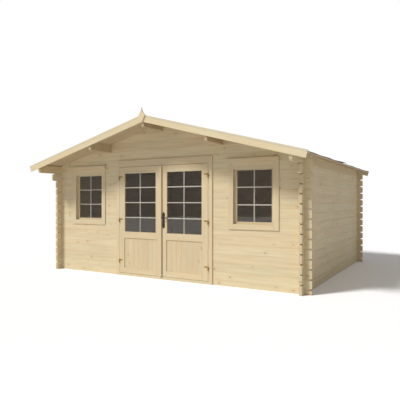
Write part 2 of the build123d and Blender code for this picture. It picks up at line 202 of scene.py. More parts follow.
# Pine: its light and its dark colour, linear, and how strong the knots are
WALL_PINE = ((0.77, 0.665, 0.46, 1), (0.61, 0.485, 0.305, 1), 0.6)
FRAME_PINE = ((0.735, 0.625, 0.43, 1), (0.637, 0.50, 0.32, 1), 0.08)
PANEL_PINE = ((0.72, 0.605, 0.41, 1), (0.61, 0.475, 0.30, 1), 0.5)
EDGE_PINE = ((0.80, 0.69, 0.475, 1), (0.71, 0.57, 0.365, 1), 0.1)
EAVE_PINE = ((0.70, 0.575, 0.37, 1), (0.56, 0.435, 0.25, 1), 0.5)
# painted shade: roof boards and purlins take a darker pine than the walls, for the dim light under the roof
SHADED_ROOF_PINE = ((0.57, 0.46, 0.305, 1), (0.46, 0.345, 0.20, 1), 0.5)
BAR_PINE = ((0.55, 0.525, 0.475, 1), (0.48, 0.45, 0.39, 1), 0.0)
FLOOR_PINE = ((0.74, 0.58, 0.37, 1), (0.58, 0.42, 0.24, 1), 0.6)
KNOT_COLOUR = (0.40, 0.24, 0.13, 1)
END_COLOUR = (0.50, 0.375, 0.22, 1)

# Tints that the pine is multiplied by
NO_TINT = (1, 1, 1, 1)
PATCH_TINTS = ((1.0, 0.98, 0.955, 1), (0.985, 1.01, 1.03, 1))
PLANK_TINTS = ((1.0, 0.965, 0.92, 1), (0.985, 1.0, 0.97, 1))
PLANK_LEVELS = (0.965, 1.03)
STRIP_TINT = (0.92, 0.975, 1.06, 1)
# painted shadow: the fine line under a bargeboard's paler strip
STRIP_SHADOW_LINE_TINT = (0.4, 0.36, 0.3, 1)
JOINT_TINT = (0.45, 0.40, 0.33, 1)
# painted shade: darkens the top of an eave log, for the wedge of shadow under the roof boards
PAINTED_GAP_SHADE = (0.35, 0.26, 0.20, 1)

# Pine grain: cells are textures' repeats per metre along and across it
GRAIN_INPUTS = ("Along", "Across", "Depth", "Plank", "Light", "Dark", "Knots")
KNOT_CELLS = (3.6, 5.4)
DRIFT_CELLS = (0.7, 5.0)
FIBRE_CELLS = (4.0, 170.0)
STREAK_CELLS = (1.8, 20.0)
PATCH_CELLS = (1.3, 11.0)
PATCH_LAYER = 3.7
KNOT_THRESHOLD = 0.62
KNOT_RADII = (0.035, 0.085)
KNOT_EDGE = (0.55, 1.0)
SWIRL_EDGE = (0.6, 4.0)
HALO_STRENGTH = 0.22
RING_WIDTH = 0.0075
RING_LEVELS = [(0.0, 0.0), (0.55, 0.25), (0.9, 1.0), (1.0, 0.1)]
RING_DRIFT = 0.03
RING_SWIRL = 0.011
PITH_DEPTH = 0.035
PITH_SPREAD = 0.09
RING_DARKNESS = 0.38
FIBRE_DARKNESS = 0.3
STREAK_EDGES = (0.35, 0.7)
STREAK_DARKNESS = (-0.17, 0.23)
PATCH_EDGES = (0.35, 0.65)
RING_RELIEF = -0.6
PINE_RELIEF = 0.0006
PINE_ROUGHNESS = (0.66, 0.5)
PINE_SHINE = 0.3
END_SHARE = 0.3
END_FACING = (0.8, 0.95)
PLANK_SHIFTS = (11.0, 5.0)
RAILS_PER_METRE = 1.7
UPRIGHT_SEED = 20.0
SLOPE_SEED = 7.0

# Felt, from its dark grit to the bitumen of its laps
FELT_DARK = (0.045, 0.044, 0.043, 1)
FELT_PALE = (0.17, 0.165, 0.16, 1)
FELT_WORN = (0.075, 0.07, 0.065, 1)
FELT_RUNS = (0.15, 0.147, 0.14, 1)
FELT_FADED = (0.16, 0.155, 0.15, 1)
FELT_BITUMEN = (0.012, 0.011, 0.01, 1)
FELT_RUN_CELLS = (0.6, 9.0)
FELT_GRIT_SCALE = 420.0
FELT_PATCH_SCALE = 2.2
FELT_ROUGHNESS = (0.98, 0.82)
FELT_RELIEF = 0.001
BITUMEN_EDGES = (FELT_LAP - 0.007, FELT_LAP + 0.004)

# Metals and glass
METAL_RELIEF = 0.0004
METAL_ROUGHENING = 0.2
GLASS_TINTS = ((0.82, 0.755, 0.665, 1), (0.765, 0.70, 0.61, 1))
GLASS_INDEX = 1.45


# Node trees
def feed(tree, node, inputs):
    """Links or sets a node's inputs, which are given by name or number."""
    for label, value in inputs.items():
        if isinstance(value, bpy.types.NodeSocket):
            tree.links.new(value, node.inputs[label])
        else:
            node.inputs[label].default_value = value


def add_node(tree, kind, inputs, **settings):
    node = tree.nodes.new(kind)
    for setting, value in settings.items():
        setattr(node, setting, value)
    feed(tree, node, inputs)
    return node


def calc(tree, operation, *values):
    return add_node(tree, "ShaderNodeMath", dict(enumerate(values)), operation=operation).outputs[0]


def choose(tree, share, one, other):
    """One value where share is 1, the other where it is 0."""
    return calc(tree, "MULTIPLY_ADD", share, calc(tree, "SUBTRACT", one, other), other)


def inside(tree, value, low, high):
    """1 where a value is between two others, and 0 elsewhere."""
    above = calc(tree, "GREATER_THAN", value, low)
    return calc(tree, "MULTIPLY", above, calc(tree, "LESS_THAN", value, high))


def join(tree, x, y, z):
    return add_node(tree, "ShaderNodeCombineXYZ", {"X": x, "Y": y, "Z": z}).outputs[0]


def split(tree, vector):
    return dict(zip("XYZ", add_node(tree, "ShaderNodeSeparateXYZ", {0: vector}).outputs))


def part_along(tree, axes, direction):
    """The part of a place or normal that lies along a direction without Y."""
    return calc(tree, "MULTIPLY_ADD", axes["X"], direction.x, calc(tree, "MULTIPLY", axes["Z"], direction.z))


def stretched(tree, along, across, cells, depth=0.0):
    """The place in a texture that has so many cells per metre along and across the grain."""
    x = calc(tree, "MULTIPLY", along, cells[0])
    y = calc(tree, "MULTIPLY", across, cells[1])
    return join(tree, x, y, depth)


def strips(tree, value, start, width):
    """The number of the strip that a value falls in, and the share of that strip before it."""
    count = calc(tree, "DIVIDE", calc(tree, "SUBTRACT", value, start), width)
    number = calc(tree, "FLOOR", count)
    return number, calc(tree, "SUBTRACT", count, number)


def noise(tree, place, scale=1.0, detail=2.0):
    inputs = {"Vector": place, "Scale": scale, "Detail": detail}
    return add_node(tree, "ShaderNodeTexNoise", inputs).outputs[0]


def ramp(tree, factor, stops):
    """A colour ramp: stops are (place, grey level)."""
    node = add_node(tree, "ShaderNodeValToRGB", {0: factor})
    while len(node.color_ramp.elements) < len(stops):
        node.color_ramp.elements.new(0.5)
    for element, (place, level) in zip(node.color_ramp.elements, stops):
        element.position = place
        element.color = (level, level, level, 1)
    return node.outputs[0]


def span(tree, value, low, high, to_low=0.0, to_high=1.0, smooth=False):
    """Moves a value from one range to another, without leaving it."""
    inputs = dict(enumerate((value, low, high, to_low, to_high)))
    kind = "SMOOTHSTEP" if smooth else "LINEAR"
    return add_node(tree, "ShaderNodeMapRange", inputs, interpolation_type=kind).outputs[0]


def blend(tree, factor, one, other, kind="MIX"):
    inputs = {0: factor, 6: one, 7: other}
    return add_node(tree, "ShaderNodeMix", inputs, data_type="RGBA", blend_type=kind).outputs[2]


def chance(tree, number):
    """Three random numbers from 0 to 1 that belong to a number."""
    node = add_node(tree, "ShaderNodeTexWhiteNoise", {"W": number}, noise_dimensions="1D")
    return split(tree, node.outputs["Color"])


def new_material(name):
    """An empty material with its Principled shader joined up."""
    material = bpy.data.materials.new(name)
    material.use_nodes = True
    tree = material.node_tree
    shader = tree.nodes["Principled BSDF"]
    return material, tree, shader


def object_place(tree):
    """The place on the surface, in the building's own axes."""
    return tree.nodes.new("ShaderNodeTexCoord").outputs["Object"]


def surface_facts(tree):
    """Place and direction of the surface, split into X, Y and Z."""
    facts = tree.nodes.new("ShaderNodeTexCoord")
    return split(tree, facts.outputs["Object"]), split(tree, facts.outputs["Normal"])


def bumps(tree, height, strength, distance):
    inputs = {"Height": height, "Strength": strength, "Distance": distance}
    return add_node(tree, "ShaderNodeBump", inputs).outputs[0]


# Pine
def knot_shares(tree, along, across):
    """Knots scattered over a plank: the share of the knot itself, and of the wider swirl round it."""
    inputs = {"Vector": stretched(tree, along, across, KNOT_CELLS), "Scale": 1.0}
    cells = add_node(tree, "ShaderNodeTexVoronoi", inputs, voronoi_dimensions="2D")
    lot = split(tree, cells.outputs["Color"])
    there = calc(tree, "GREATER_THAN", lot["X"], KNOT_THRESHOLD)
    size = span(tree, lot["Y"], 0, 1, *KNOT_RADII)
    distance = calc(tree, "DIVIDE", cells.outputs["Distance"], size)
    return [
        calc(tree, "MULTIPLY", there, span(tree, distance, *edge, 1.0, 0.0, smooth=True))
        for edge in (KNOT_EDGE, SWIRL_EDGE)
    ]


def ring_shares(tree, given, pith_luck, drift, swirl):
    """Growth rings about a pith line below the face; drift and swirl push them aside."""
    pith_across = calc(tree, "MULTIPLY_ADD", pith_luck, PITH_SPREAD, -PITH_SPREAD / 2)
    offset = calc(tree, "ADD", given["Across"], pith_across)
    below = calc(tree, "ADD", given["Depth"], PITH_DEPTH)
    squares = calc(tree, "ADD", calc(tree, "POWER", offset, 2.0), calc(tree, "POWER", below, 2.0))
    radius = calc(tree, "SQRT", squares)
    radius = calc(tree, "MULTIPLY_ADD", drift, RING_DRIFT, radius)
    radius = calc(tree, "MULTIPLY_ADD", swirl, RING_SWIRL, radius)
    return ramp(tree, calc(tree, "FRACT", calc(tree, "DIVIDE", radius, RING_WIDTH)), RING_LEVELS)


def plank_tint(tree, luck):
    """The tint and the brightness that belong to one plank."""
    inputs = {0: blend(tree, luck["Y"], *PLANK_TINTS), "Scale": span(tree, luck["X"], 0, 1, *PLANK_LEVELS)}
    return add_node(tree, "ShaderNodeVectorMath", inputs, operation="SCALE").outputs[0]


def grain_group():
    """Colour and height of pine from rings, fibres, streaks, patches and knots, different for each plank."""
    tree = bpy.data.node_groups.new("pine_grain", "ShaderNodeTree")
    for label in GRAIN_INPUTS:
        kind = "NodeSocketColor" if label in ("Light", "Dark") else "NodeSocketFloat"
        tree.interface.new_socket(label, in_out="INPUT", socket_type=kind)
    tree.interface.new_socket("Color", in_out="OUTPUT", socket_type="NodeSocketColor")
    tree.interface.new_socket("Height", in_out="OUTPUT", socket_type="NodeSocketFloat")
    given = tree.nodes.new("NodeGroupInput").outputs
    luck = chance(tree, given["Plank"])
    along = calc(tree, "MULTIPLY_ADD", luck["X"], PLANK_SHIFTS[0], given["Along"])
    across = calc(tree, "MULTIPLY_ADD", luck["Y"], PLANK_SHIFTS[1], given["Across"])

    knot, swirl = knot_shares(tree, along, across)
    drift = noise(tree, stretched(tree, along, across, DRIFT_CELLS))
    rings = ring_shares(tree, given, luck["Z"], drift, swirl)
    fibre_depth = calc(tree, "MULTIPLY", given["Depth"], FIBRE_CELLS[1])
    fibre = noise(tree, stretched(tree, along, across, FIBRE_CELLS, fibre_depth), detail=3.0)
    streak = noise(tree, stretched(tree, along, across, STREAK_CELLS))
    patch = noise(tree, stretched(tree, along, across, PATCH_CELLS, PATCH_LAYER))

    darkness = calc(tree, "MULTIPLY_ADD", rings, RING_DARKNESS, calc(tree, "MULTIPLY", fibre, FIBRE_DARKNESS))
    darkness = calc(tree, "ADD", darkness, span(tree, streak, *STREAK_EDGES, *STREAK_DARKNESS))
    colour = blend(tree, darkness, given["Light"], given["Dark"])
    patches = blend(tree, span(tree, patch, *PATCH_EDGES), *PATCH_TINTS)
    for tint in (patches, plank_tint(tree, luck)):
        colour = blend(tree, 1.0, colour, tint, kind="MULTIPLY")
    halo = calc(tree, "MULTIPLY", swirl, calc(tree, "MULTIPLY", given["Knots"], HALO_STRENGTH))
    for share in (halo, calc(tree, "MULTIPLY", knot, given["Knots"])):
        colour = blend(tree, share, colour, KNOT_COLOUR)
    height = calc(tree, "MULTIPLY_ADD", rings, RING_RELIEF, fibre)
    add_node(tree, "NodeGroupOutput", {"Color": colour, "Height": height})
    return tree


PINE_GRAIN = grain_group()


def add_pine(tree, shader, along, across, depth, plank, ends, tone, tint=NO_TINT):
    """Joins the grain group to the shader.

    ends is 1 on faces that cut across the grain, and the colour is multiplied by tint.
    """
    inputs = dict(zip(GRAIN_INPUTS, (along, across, depth, plank, *tone)))
    grain = add_node(tree, "ShaderNodeGroup", inputs, node_tree=PINE_GRAIN)
    height = grain.outputs["Height"]
    colour = blend(tree, calc(tree, "MULTIPLY", ends, END_SHARE), grain.outputs["Color"], END_COLOUR)
    feed(tree, shader, {
        "Base Color": blend(tree, 1.0, colour, tint, kind="MULTIPLY"),
        "Roughness": span(tree, height, 0, 1, *PINE_ROUGHNESS),
        "Specular IOR Level": PINE_SHINE,
        "Normal": bumps(tree, height, strength=0.35, distance=PINE_RELIEF),
    })


def end_grain(tree, facing):
    """1 on faces that cut across the grain, from the part of their normal that lies along it."""
    return span(tree, calc(tree, "ABSOLUTE", facing), *END_FACING)


def planks(name, axes, width, seed, start=0.0, back=0.0, tone=WALL_PINE, painted_shade_above=None):
    """Pine in planks side by side; axes names those of the grain, the width and the thickness.

    The first plank starts at start, and back is where the thickness is measured from. Above the height
    in the last argument, the pine is darkened with painted shade, standing in for the wedge of shadow
    between a log and the roof boards.
    """
    grain, across, depth = axes
    material, tree, shader = new_material(name)
    place, normal = surface_facts(tree)
    number, share = strips(tree, place[across], start, width)
    middle = calc(tree, "MULTIPLY", calc(tree, "SUBTRACT", share, 0.5), width)
    plank = calc(tree, "ADD", number, seed)
    ends = end_grain(tree, normal[grain])
    from_back = calc(tree, "SUBTRACT", place[depth], back)
    tint = NO_TINT
    # painted shade: the band above the given height is darkened, for the shadow under the roof boards
    if painted_shade_above is not None:
        tint = blend(tree, calc(tree, "GREATER_THAN", place["Z"], painted_shade_above), NO_TINT, PAINTED_GAP_SHADE)
    add_pine(tree, shader, place[grain], middle, from_back, plank, ends, tone, tint)
    return material


def slope_axes(side):
    """Unit vectors down the roof slope of one side and out of it."""
    down = Vector((side * math.cos(ROOF_SLOPE), 0, -math.sin(ROOF_SLOPE)))
    out = Vector((side * math.sin(ROOF_SLOPE), 0, math.cos(ROOF_SLOPE)))
    return down, out


def raked(name, side, back, edge, seed):
    """Pine whose grain runs down the roof slope, with a paler strip under its upper edge and a fine painted
    shadow line along the strip's lower edge.

    edge is the height that the upper edge has in the middle of the building.
    """
    material, tree, shader = new_material(name)
    place, normal = surface_facts(tree)
    down, out = slope_axes(side)
    across = part_along(tree, place, out)
    strip_start = edge * out.z - RAKE_STRIP
    strip = calc(tree, "GREATER_THAN", across, strip_start)
    from_line = calc(tree, "ABSOLUTE", calc(tree, "SUBTRACT", across, strip_start))
    tint = blend(tree, strip, NO_TINT, STRIP_TINT)
    # painted shadow: a fine dark line along the lower edge of the paler strip
    tint = blend(tree, calc(tree, "LESS_THAN", from_line, JOINT_AND_SHADOW_LINE), tint, STRIP_SHADOW_LINE_TINT)
    along = part_along(tree, place, down)
    depth = calc(tree, "SUBTRACT", place["Y"], back)
    plank = calc(tree, "ADD", strip, seed)
    ends = end_grain(tree, part_along(tree, normal, down))
    add_pine(tree, shader, along, across, depth, plank, ends, EDGE_PINE, tint)
    return material


def joinery(name, uprights, back, seed):
    """A frame of pine: the grain stands up inside its uprights and lies along X elsewhere.

    The uprights are pairs of an X range and a Z range. A fine dark line shows where a rail meets one.
    """
    material, tree, shader = new_material(name)
    place, normal = surface_facts(tree)
    standing = 0.0
    joints = 0.0
    rail = calc(tree, "FLOOR", calc(tree, "MULTIPLY", place["Z"], RAILS_PER_METRE))
    plank = calc(tree, "ADD", rail, seed)
    for index, (x, z) in enumerate(uprights):
        level = inside(tree, place["Z"], *z)
        here = calc(tree, "MULTIPLY", inside(tree, place["X"], *x), level)
        standing = calc(tree, "MAXIMUM", standing, here)
        plank = choose(tree, here, seed + UPRIGHT_SEED + index, plank)
        for edge in x:
            near = calc(tree, "ABSOLUTE", calc(tree, "SUBTRACT", place["X"], edge))
            line = calc(tree, "MULTIPLY", calc(tree, "LESS_THAN", near, JOINT_AND_SHADOW_LINE), level)
            joints = calc(tree, "MAXIMUM", joints, line)
    along = choose(tree, standing, place["Z"], place["X"])
    across = choose(tree, standing, place["X"], place["Z"])
    side_on = calc(tree, "ABSOLUTE", normal["X"])
    ends = end_grain(tree, choose(tree, standing, calc(tree, "ABSOLUTE", normal["Z"]), side_on))
    depth = calc(tree, "SUBTRACT", place["Y"], back)
    joints = calc(tree, "MULTIPLY", joints, calc(tree, "LESS_THAN", side_on, 0.5))
    tint = blend(tree, joints, NO_TINT, JOINT_TINT)
    add_pine(tree, shader, along, across, depth, plank, ends, FRAME_PINE, tint)
    return material


# Other finishes
def felt(start, width):
    """Grey mineral felt in sheets, each a little different, with bitumen along the laps and pale runs."""
    material, tree, shader = new_material("mineral_felt")
    place = object_place(tree)
    axes = split(tree, place)
    grit = noise(tree, place, FELT_GRIT_SCALE, detail=3.0)
    patches = noise(tree, place, FELT_PATCH_SCALE, detail=4.0)
    runs = noise(tree, stretched(tree, axes["X"], axes["Y"], FELT_RUN_CELLS))
    number, share = strips(tree, axes["Y"], start, width)
    slope = calc(tree, "SIGN", axes["X"])
    luck = chance(tree, calc(tree, "MULTIPLY_ADD", slope, SLOPE_SEED, number))
    seam = inside(tree, calc(tree, "MULTIPLY", share, width), *BITUMEN_EDGES)
    colour = blend(tree, span(tree, grit, 0.35, 0.7), FELT_DARK, FELT_PALE)
    layers = (
        (span(tree, patches, 0.3, 0.7, 0.0, 0.35), FELT_WORN),
        (span(tree, runs, 0.45, 0.75, 0.0, 0.3), FELT_RUNS),
        (span(tree, luck["X"], 0, 1, 0.0, 0.35), FELT_FADED),
        (calc(tree, "MULTIPLY", seam, 0.8), FELT_BITUMEN),
    )
    for layer, shade in layers:
        colour = blend(tree, layer, colour, shade)
    feed(tree, shader, {
        "Base Color": colour,
        "Roughness": span(tree, grit, 0, 1, *FELT_ROUGHNESS),
        "Normal": bumps(tree, grit, strength=0.6, distance=FELT_RELIEF),
    })
    return material


def metal(name, clean, worn, smooth, scale, metallic=1.0):
    """A metal with smudges: its clean and worn colours, its lowest roughness and the smudges' scale."""
    material, tree, shader = new_material(name)
    smudge = noise(tree, object_place(tree), scale, detail=4.0)
    feed(tree, shader, {
        "Base Color": blend(tree, span(tree, smudge, 0.35, 0.7), clean, worn),
        "Roughness": span(tree, smudge, 0.3, 0.7, smooth, smooth + METAL_ROUGHENING),
        "Metallic": metallic,
        "Normal": bumps(tree, smudge, strength=0.15, distance=METAL_RELIEF),
    })
    return material


def clear_glass():
    """Clear glass with a faint uneven tint."""
    material, tree, shader = new_material("window_glass")
    film = noise(tree, object_place(tree), scale=3.0, detail=3.0)
    feed(tree, shader, {
        "Base Color": blend(tree, film, *GLASS_TINTS),
        "Transmission Weight": 1.0,
        "IOR": GLASS_INDEX,
        "Roughness": 0.0,
    })
    return material


# Meshes
def box_between(mesh, low, high):
    low, high = Vector(low), Vector(high)
    size = Matrix.Diagonal((*(high - low), 1))
    bmesh.ops.create_cube(mesh, size=1.0, matrix=Matrix.Translation((low + high) / 2) @ size)


def carry(mesh, outline, place, start, end, finish=0):
    """A closed bar whose outline's points (u, v) are carried from start to end.

    place turns u, v and the way t between start and end into a place in the building.
    """
    rings = [[mesh.verts.new(place(u, v, t)) for u, v in outline] for t in (start, end)]
    count = len(outline)
    faces = [mesh.faces.new(list(reversed(rings[0]))), mesh.faces.new(rings[1])]
    for index in range(count):
        after = (index + 1) % count
        faces.append(mesh.faces.new((rings[0][index], rings[0][after], rings[1][after], rings[1][index])))
    for face in faces:
        face.material_index = finish


def moulding(mesh, x, z, outline):
    """A mitred frame of beads just inside a rectangle; the outline's points are (inwards, y)."""
    rings = []
    for corner_x, corner_z in ((0, 0), (1, 0), (1, 1), (0, 1)):
        turn = (1 - 2 * corner_x, 1 - 2 * corner_z)
        rings.append([
            mesh.verts.new((x[corner_x] + turn[0] * inwards, y, z[corner_z] + turn[1] * inwards))
            for inwards, y in outline
        ])
    count = len(outline)
    for corner, finish in enumerate((LEVEL_BEAD, UPRIGHT_BEAD, LEVEL_BEAD, UPRIGHT_BEAD)):
        here, there = rings[corner], rings[(corner + 1) % 4]
        for index in range(count):
            after = (index + 1) % count
            face = mesh.faces.new((here[index], there[index], there[after], here[after]))
            face.material_index = finish


def skin(mesh, columns, rows, top, bottom):
    """A closed sheet over a grid: top and bottom give the place for two shares from 0 to 1."""
    layers = []
    for surface in (top, bottom):
        layers.append([
            [mesh.verts.new(surface(column / columns, row / rows)) for row in range(rows + 1)]
            for column in range(columns + 1)
        ])
    upper, lower = layers
    for column in range(columns):
        for row in range(rows):
            corners = ((column, row), (column + 1, row), (column + 1, row + 1), (column, row + 1))
            mesh.faces.new([upper[a][b] for a, b in corners])
            mesh.faces.new([lower[a][b] for a, b in reversed(corners)])
    rim = [(column, 0) for column in range(columns)]
    rim += [(columns, row) for row in range(rows)]
    rim += [(column, rows) for column in range(columns, 0, -1)]
    rim += [(0, row) for row in range(rows, 0, -1)]
    for (a, b), (c, d) in zip(rim, rim[1:] + rim[:1]):
        mesh.faces.new((upper[c][d], upper[a][b], lower[a][b], lower[c][d]))


def mesh_data(name, mesh):
    data = bpy.data.meshes.new(name)
    mesh.to_mesh(data)
    mesh.free()
    return data


def add_object(name, data):
    thing = bpy.data.objects.new(name, data)
    bpy.context.scene.collection.objects.link(thing)
    return thing


def finish_piece(name, mesh, materials, body, ease=0.0, smooth=False):
    """Turns a mesh into a piece that rides on a body, with eased edges and one finish or a list of them."""
    bmesh.ops.recalc_face_normals(mesh, faces=mesh.faces)
    data = mesh_data(name, mesh)
    for material in materials if isinstance(materials, list) else [materials]:
        data.materials.append(material)
    piece = add_object(name, data)
    if smooth:
        data.polygons.foreach_set("use_smooth", [True] * len(data.polygons))
    if ease:
        edges = piece.modifiers.new("eased_edges", "BEVEL")
        edges.width = ease
        edges.segments = 2
        edges.limit_method = "ANGLE"
    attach(piece, body)
    return piece


def paint(material, *names):
    """Gives CAD nodes their finish."""
    for name in names:
        slots = nodes[name].data.materials
        slots.clear()
        slots.append(material)


def side_name(side):
    return "right" if side > 0 else "left"


# Walls and roof timbers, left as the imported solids
def finish_walls():
    front_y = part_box("front_wall_right")[0].y
    back_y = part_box("back_wall")[1].y
    side_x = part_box("right_wall")[1].x
    half = LOG_HEIGHT / 2
    front = planks("front_logs", "XZY", LOG_HEIGHT, seed=3.0, start=half, back=front_y)
    back = planks("back_logs", "XZY", LOG_HEIGHT, seed=43.0, start=half, back=back_y)
    paint(front, "front_wall_left", "front_wall_right", "front_gable")
    paint(back, "back_wall", "back_gable")
    for side, seed in ((1, 80.0), (-1, 120.0)):
        name = side_name(side)
        face_x = side * side_x
        logs = planks(f"{name}_logs", "YZX", LOG_HEIGHT, seed, back=face_x)
        paint(logs, f"{name}_wall")
        low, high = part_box(f"{name}_eave_log")
        # height of the eave log's inner top edge, above which its pine gets painted shade
        painted_shade_start = high.z - (high.x - low.x) * math.tan(ROOF_SLOPE)
        eave = planks(f"{name}_eave_pine", "YZX", width=1.0, seed=seed + 15, start=1.0, back=face_x,
                      tone=EAVE_PINE, painted_shade_above=painted_shade_start)
        paint(eave, f"{name}_eave_log")
        purlin = planks(f"{name}_purlin_pine", "YXZ", width=0.4, seed=seed + 30, back=2.0, tone=SHADED_ROOF_PINE)
        paint(purlin, f"{name}_purlin")
    ridge = planks("ridge_purlin_pine", "YXZ", width=0.4, seed=170.0, start=-0.2, back=2.4, tone=SHADED_ROOF_PINE)
    paint(ridge, "ridge_purlin")
    bearers = planks("bearer_pine", "XYZ", width=0.3, seed=190.0, tone=FLOOR_PINE)
    paint(bearers, "floor_bearers")


def finish_gable_trim():
    """Bargeboards and finials."""
    seed = 200.0
    for end in ("front", "back"):
        for side in (-1, 1):
            seed += 5
            name = f"{end}_bargeboard_{side_name(side)}"
            low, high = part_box(name)
            paint(raked(f"{name}_pine", side, low.y, high.z, seed), name)
        name = f"{end}_finial"
        face_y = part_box(name)[0].y
        pine = planks(f"{name}_pine", "ZXY", width=0.5, seed=seed + 3, start=-0.25, back=face_y,
                      tone=EDGE_PINE)
        paint(pine, name)


def finish_frames():
    """Frames of the doorway, the windows, the sashes and the leaves."""
    low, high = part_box("door_frame")
    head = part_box("left_door_frame")[1].z
    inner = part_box("right_door_frame")[1].x
    z = (low.z - PAST_ANY_PIECE, head)
    uprights = [((low.x - PAST_ANY_PIECE, -inner), z), ((inner, high.x + PAST_ANY_PIECE), z)]
    paint(joinery("door_frame_pine", uprights, low.y, seed=270.0), "door_frame")
    seed = 220.0
    for side in ("left", "right"):
        glass_low, glass_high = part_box(f"{side}_window_glass")
        pane_low, pane_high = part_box(f"{side}_door_glass")
        frames = (
            (f"{side}_window_frame", glass_low, glass_high, SASH_WIDTH, SASH_WIDTH),
            (f"{side}_window_sash", glass_low, glass_high, 0.0, 0.0),
            (f"{side}_door_frame", pane_low, pane_high, -GLASS_BITE, PAST_ANY_PIECE),
        )
        for name, inner_low, inner_high, margin, rise in frames:
            low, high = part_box(name)
            seed += 50
            z = (inner_low.z - rise, inner_high.z + rise)
            left = (low.x - PAST_ANY_PIECE, inner_low.x - margin)
            right = (inner_high.x + margin, high.x + PAST_ANY_PIECE)
            paint(joinery(f"{name}_pine", [(left, z), (right, z)], low.y, seed), name)


# Glazing
def pane_of(node):
    """X, Y and Z ranges of the visible part of a pane."""
    low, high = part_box(node)
    x = (low.x + GLASS_BITE, high.x - GLASS_BITE)
    z = (low.z + GLASS_BITE, high.z - GLASS_BITE)
    return x, (low.y, high.y), z


def bar_places(low, high, panes):
    """Centres of the bars that part a length into equal panes."""
    clear = (high - low - (panes - 1) * BAR_WIDTH) / panes
    return [low + (index + 1) * clear + (index + 0.5) * BAR_WIDTH for index in range(panes - 1)]


def glazing(name, node, rows, body, materials):
    """Bars and narrow beads on both faces of a pane."""
    x, y, z = pane_of(node)
    half = BAR_WIDTH / 2
    crest = half * BAR_CREST
    mesh = bmesh.new()
    for face, outwards, depth in ((y[0], -1, BAR_DEPTHS[0]), (y[1], 1, BAR_DEPTHS[1])):
        root = face + outwards * BAR_GAP
        tip = face + outwards * depth
        shoulder = root + (tip - root) * BAR_SHOULDER
        bar = [(-half, root), (-half, shoulder), (-crest, tip), (crest, tip), (half, shoulder), (half, root)]
        for centre in bar_places(*x, 2):
            carry(mesh, bar, lambda u, v, t, c=centre: (c + u, v, t), *z, finish=UPRIGHT_BAR)
        lower_bar = [(u, v - outwards * LEVEL_BAR_DROP) for u, v in bar]
        for centre in bar_places(*z, rows):
            carry(mesh, lower_bar, lambda u, v, t, c=centre: (t, v, c + u), *x, finish=LEVEL_BAR)
        slant = [(BEAD_WIDTH * BEAD_CREST, tip), (BEAD_WIDTH, shoulder)]
        moulding(mesh, x, z, [(0, root), (0, tip), *slant, (BEAD_WIDTH, root)])
    finish_piece(name, mesh, materials, body, ease=EASED_BAR)


def add_glazing():
    """Glass, bars and beads of both leaves and both windows."""
    finishes = []
    for kind, seed, tone in (("bar", 700.0, BAR_PINE), ("bead", 740.0, EDGE_PINE)):
        finishes += [
            planks(f"upright_{kind}_pine", "ZXY", width=0.3, seed=seed, back=GRAIN_FACE, tone=tone),
            planks(f"level_{kind}_pine", "XZY", width=0.22, seed=seed + 20, back=GRAIN_FACE, tone=tone),
        ]
    glass = clear_glass()
    for side in ("left", "right"):
        glazing(f"{side}_door_bars", f"{side}_door_glass", DOOR_PANE_ROWS, f"{side}_door", finishes)
        glazing(f"{side}_window_bars", f"{side}_window_glass", WINDOW_PANE_ROWS, "shell", finishes)
        paint(glass, f"{side}_door_glass", f"{side}_window_glass")


# Casings
def box_boards(name, node, uprights, rails, seed, cap=None):
    """Replaces a casing with its boards, given as (x, z) ranges; a cap stands out beyond the others."""
    low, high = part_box(node)
    mesh = bmesh.new()
    face_y = low.y + (CASING_SETBACK if cap else 0)
    for x, z in uprights + rails:
        box_between(mesh, (x[0], face_y, z[0]), (x[1], high.y, z[1]))
    if cap:
        x, z = cap
        box_between(mesh, (x[0] - CAP_REACH, low.y - CAP_REACH, z[0]), (x[1] + CAP_REACH, high.y, z[1]))
    standing = [((x[0] - BOARD_GAP / 2, x[1] + BOARD_GAP / 2), z) for x, z in uprights]
    pine = joinery(f"{name}_pine", standing, low.y, seed)
    boards = finish_piece(name, mesh, pine, "shell", ease=EASED_CASING)
    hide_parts(node)


def add_casings():
    """Boards round the doorway and the windows: heads between uprights, and a cap over each window."""
    low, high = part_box("door_trim")
    left, right = low.x + DOOR_CASING, high.x - DOOR_CASING
    uprights = [((low.x, left), (low.z, high.z)), ((right, high.x), (low.z, high.z))]
    head = ((left + BOARD_GAP, right - BOARD_GAP), (high.z - DOOR_CASING_HEAD, high.z))
    box_boards("door_casing", "door_trim", uprights, [head], seed=500.0)
    for side, seed in (("left", 520.0), ("right", 560.0)):
        node = f"{side}_window_trim"
        low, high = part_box(node)
        left, right = low.x + WINDOW_CASING, high.x - WINDOW_CASING
        top = high.z - CAP_HEIGHT
        between = (left + BOARD_GAP, right - BOARD_GAP)
        uprights = [((low.x, left), (low.z, top - BOARD_GAP)), ((right, high.x), (low.z, top - BOARD_GAP))]
        rails = [
            (between, (high.z - WINDOW_CASING_HEAD, top - BOARD_GAP)),
            (between, (low.z, low.z + WINDOW_CASING)),
        ]
        box_boards(f"{side}_window_casing", node, uprights, rails, seed, cap=((low.x, high.x), (top, high.z)))


# Boards
def board_outline(width, thickness, groove, both):
    """Outline of a board with V edges on its face at v = 0, and on its back too."""
    w, t, g = width - BOARD_GAP, thickness, groove
    face = [(0, g), (g, 0), (w - g, 0), (w, g)]
    back = [(w, t - g), (w - g, t), (g, t), (0, t - g)] if both else [(w, t), (0, t)]
    return face + back


def lay_boards(count, first, width, outline, place, ends):
    """A mesh of boards side by side; ends gives the two ends of the board that starts at a place."""
    mesh = bmesh.new()
    for index in range(count):
        edge = first + index * width
        carry(mesh, outline, lambda u, v, t, e=edge: place(e + u, v, t), *ends(edge))
    return mesh


